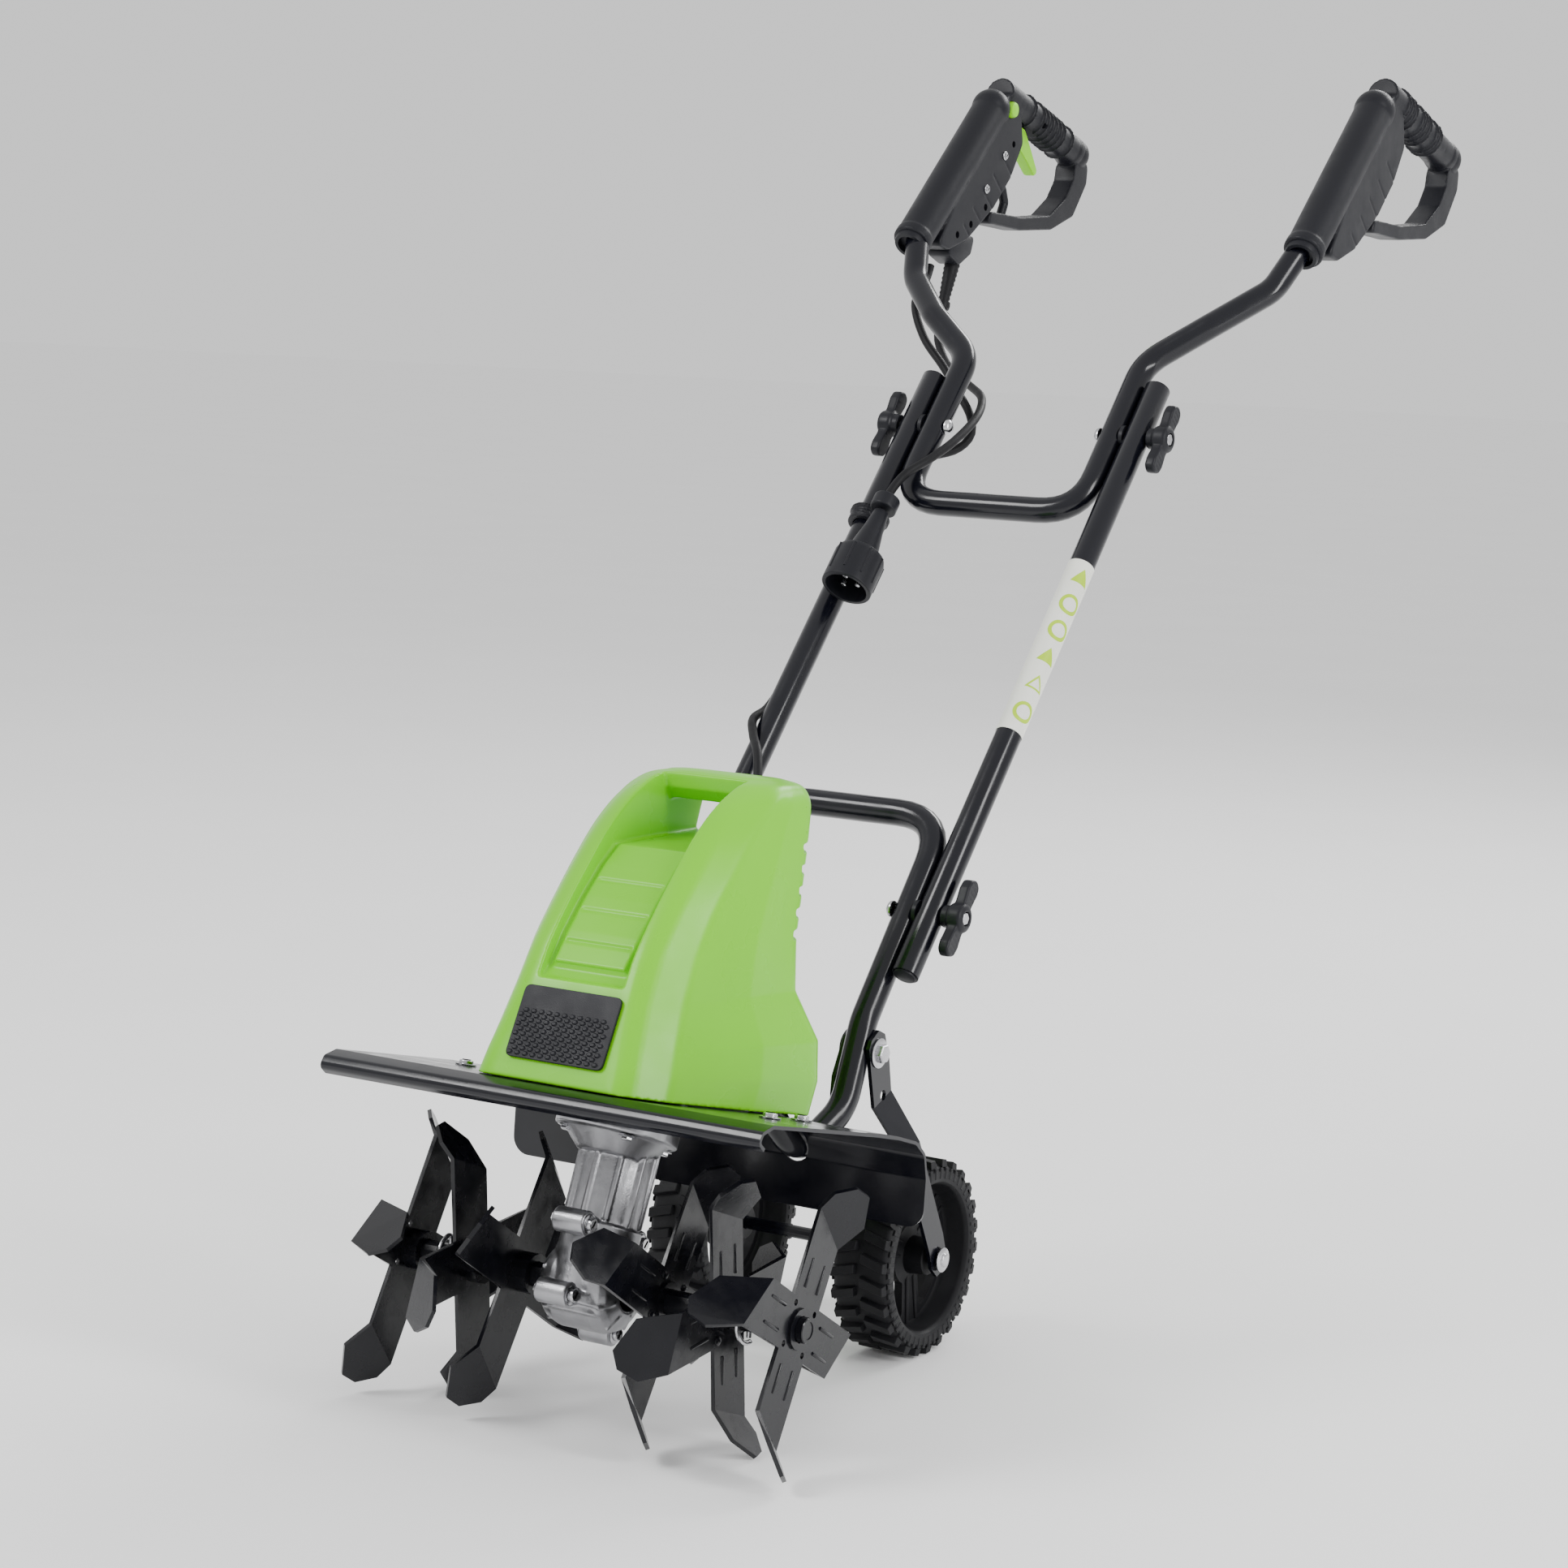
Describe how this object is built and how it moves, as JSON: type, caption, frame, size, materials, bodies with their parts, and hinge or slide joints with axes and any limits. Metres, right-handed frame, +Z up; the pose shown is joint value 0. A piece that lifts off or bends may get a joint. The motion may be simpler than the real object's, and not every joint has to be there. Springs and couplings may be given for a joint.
{
  "type": "mini cultivator",
  "caption": "Walk-behind electric cultivator with a moulded motor cover, six star tines on one axle, tine shield, two rear wheels and a folding tube handle with closed grips.",
  "frame": {"origin": "middle of the footprint at floor level, under the middle of the bounding box", "axes": "+X machine's right, +Y to the rear towards the operator, +Z up"},
  "size_m": [0.4032, 1.1231, 0.9949],
  "materials": {
    "green_shell": "bright leaf green moulded plastic, satin gloss",
    "black_plastic": "fine textured moulded plastic",
    "black_paint": "smooth powder coat, semi gloss",
    "die_cast": "as cast, bead blasted",
    "steel": "zinc plated",
    "bronze": "cut bronze",
    "lime": "lime green moulded plastic",
    "rubber": "soft black, matt"
  },
  "bodies": {
    "chassis": {"motor_cover": "green_shell", "label_plate": "black_plastic", "tine_shield": "black_paint", "rear_guard": "black_paint", "lower_frame": "black_paint", "gearbox_left": "die_cast", "gearbox_right": "die_cast", "gearbox_bolt_1": "steel", "gearbox_bolt_2": "steel", "gearbox_bolt_3": "steel", "gearbox_bolt_4": "steel", "axle_bearing_left": "steel", "axle_bearing_right": "steel", "worm_bearing": "steel", "motor_can": "steel", "motor_stator": "steel", "lower_bolt_left": "steel", "lower_bolt_right": "steel", "carriage_bolt_left": "steel", "carriage_bolt_right": "steel", "motor_cable": "rubber"},
    "tine_shaft": {"tine_axle": "steel", "tine_left_inner": "black_paint", "tine_left_middle": "black_paint", "tine_left_outer": "black_paint", "tine_right_inner": "black_paint", "tine_right_middle": "black_paint", "tine_right_outer": "black_paint", "hitch_pin_left": "steel", "hitch_pin_right": "steel", "worm_wheel": "bronze"},
    "motor_shaft": {"motor_rotor": "steel", "motor_fan": "black_plastic", "worm_shaft": "steel"},
    "wheel_carriage": {"wheel_leg_left": "black_paint", "wheel_leg_right": "black_paint", "wheel_axle": "steel", "hub_cap_left": "steel", "hub_cap_right": "steel"},
    "left_wheel": {"wheel_left": "rubber"},
    "right_wheel": {"wheel_right": "rubber"},
    "lower_handle": {"middle_tube_left": "black_paint", "middle_tube_right": "black_paint", "cable_clip": "black_plastic", "inlet_cup": "black_plastic", "upper_bolt_left": "steel", "upper_bolt_right": "steel"},
    "handlebar": {"upper_handle": "black_paint", "grip_left": "black_plastic", "grip_right": "black_plastic", "strain_relief": "rubber", "inlet_lead": "rubber"},
    "trigger_lever": {"trigger": "lime"},
    "lock_key": {"lock_button": "lime"},
    "knob_lower_left": {"lower_knob_left": "black_plastic"},
    "knob_lower_right": {"lower_knob_right": "black_plastic"},
    "knob_upper_left": {"upper_knob_left": "black_plastic"},
    "knob_upper_right": {"upper_knob_right": "black_plastic"}
  },
  "joints": [
    {"name": "tine_spin", "type": "hinge", "parent": "chassis", "child": "tine_shaft", "pos_m": [0, -0.4702, 0.1005], "axis": [1, 0, 0], "continuous": true},
    {"name": "motor_spin", "type": "hinge", "parent": "chassis", "child": "motor_shaft", "pos_m": [0, -0.48589, 0.10704], "axis": [0, 0.385, 0.9229], "continuous": true},
    {"name": "carriage_swing", "type": "hinge", "parent": "chassis", "child": "wheel_carriage", "pos_m": [0, -0.2452, 0.244], "axis": [1, 0, 0], "range_deg": [0, 35]},
    {"name": "wheel_left_spin", "type": "hinge", "parent": "wheel_carriage", "child": "left_wheel", "pos_m": [-0.082, -0.1672, 0.075], "axis": [1, 0, 0], "continuous": true},
    {"name": "wheel_right_spin", "type": "hinge", "parent": "wheel_carriage", "child": "right_wheel", "pos_m": [0.082, -0.1672, 0.075], "axis": [1, 0, 0], "continuous": true},
    {"name": "lower_fold", "type": "hinge", "parent": "chassis", "child": "lower_handle", "pos_m": [0, -0.1882, 0.341], "axis": [1, 0, 0], "range_deg": [-15, 30], "deforming": ["motor_cable"]},
    {"name": "upper_fold", "type": "hinge", "parent": "lower_handle", "child": "handlebar", "pos_m": [0, 0.1198, 0.69], "axis": [1, 0, 0], "range_deg": [0, 140], "deforming": ["inlet_lead"]},
    {"name": "trigger_pull", "type": "hinge", "parent": "handlebar", "child": "trigger_lever", "pos_m": [-0.183, 0.4278, 0.95], "axis": [1, 0, 0], "range_deg": [0, 10], "stiffness_Nm_per_rad": 0.08, "springref_deg": -5.73},
    {"name": "lock_press", "type": "slide", "parent": "handlebar", "child": "lock_key", "axis": [-1, 0, 0], "range_m": [0, 0.003], "stiffness_N_per_m": 300, "springref_m": -0.001},
    {"name": "lower_left_knob_turn", "type": "hinge", "parent": "lower_handle", "child": "knob_lower_left", "pos_m": [-0.12, -0.1882, 0.341], "axis": [1, 0, 0], "continuous": true},
    {"name": "lower_right_knob_turn", "type": "hinge", "parent": "lower_handle", "child": "knob_lower_right", "pos_m": [0.12, -0.1882, 0.341], "axis": [1, 0, 0], "continuous": true},
    {"name": "upper_left_knob_turn", "type": "hinge", "parent": "lower_handle", "child": "knob_upper_left", "pos_m": [-0.12, 0.1198, 0.69], "axis": [1, 0, 0], "continuous": true},
    {"name": "upper_right_knob_turn", "type": "hinge", "parent": "lower_handle", "child": "knob_upper_right", "pos_m": [0.12, 0.1198, 0.69], "axis": [1, 0, 0], "continuous": true}
  ],
  "couplings": [
    {"joint": "motor_spin", "follows": "tine_spin", "ratio": 36}
  ]
}
